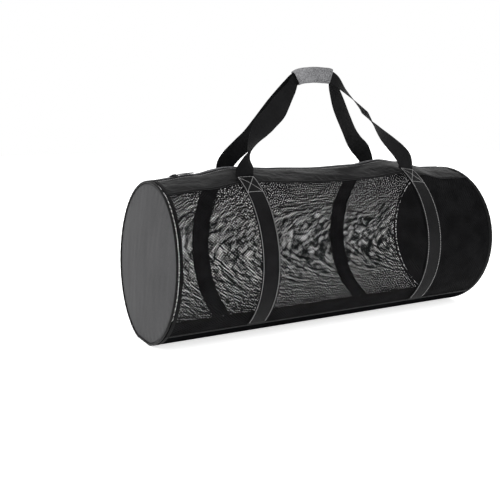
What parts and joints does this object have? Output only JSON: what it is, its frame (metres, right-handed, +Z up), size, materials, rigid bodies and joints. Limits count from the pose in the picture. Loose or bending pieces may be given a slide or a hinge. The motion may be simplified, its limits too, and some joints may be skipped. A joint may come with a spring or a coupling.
{
  "type": "mesh duffel bag",
  "caption": "Long round duffel of open black mesh with solid grey cloth ends, a cloth top and base, a zip along the top, sewn webbing straps that form two carry handles, and a wrapped grip.",
  "frame": {"origin": "centre of the bounding box in X and Y, on the surface the bag rests on", "axes": "+X along the bag from its left end to its right end, -Y is the side in the picture, +Z up"},
  "size_m": [0.98, 0.387, 0.645],
  "materials": {
    "mesh_net": "open knitted polyester mesh, matt",
    "base_cloth": "coated woven polyester, slight sheen",
    "top_cloth": "coated woven polyester, slight sheen",
    "end_cloth": "charcoal coated woven polyester, matt",
    "zip_tape": "woven zip tape",
    "zip_chain": "moulded zip teeth",
    "zip_metal": "dark painted metal",
    "seam_binding": "black woven binding tape",
    "piping": "black cloth over cord",
    "webbing": "ribbed woven webbing with pale edge stitching",
    "grip_cloth": "grey padded wrap"
  },
  "bodies": {
    "root": {"mesh_front": "mesh_net", "mesh_back": "mesh_net", "base_panel": "base_cloth", "top_panel_front": "top_cloth", "top_panel_back": "top_cloth", "zip_tape_front": "zip_tape", "zip_tape_back": "zip_tape", "zip_chain": "zip_chain", "zip_slider": "zip_metal", "zip_pull": "zip_metal", "top_binding_front": "seam_binding", "top_binding_back": "seam_binding", "base_binding_front": "seam_binding", "base_binding_back": "seam_binding", "end_panel_left": "end_cloth", "end_panel_right": "end_cloth", "end_piping_left": "piping", "end_piping_right": "piping", "webbing_front": "webbing", "webbing_back": "webbing", "handle_grip": "grip_cloth"}
  },
  "joints": []
}
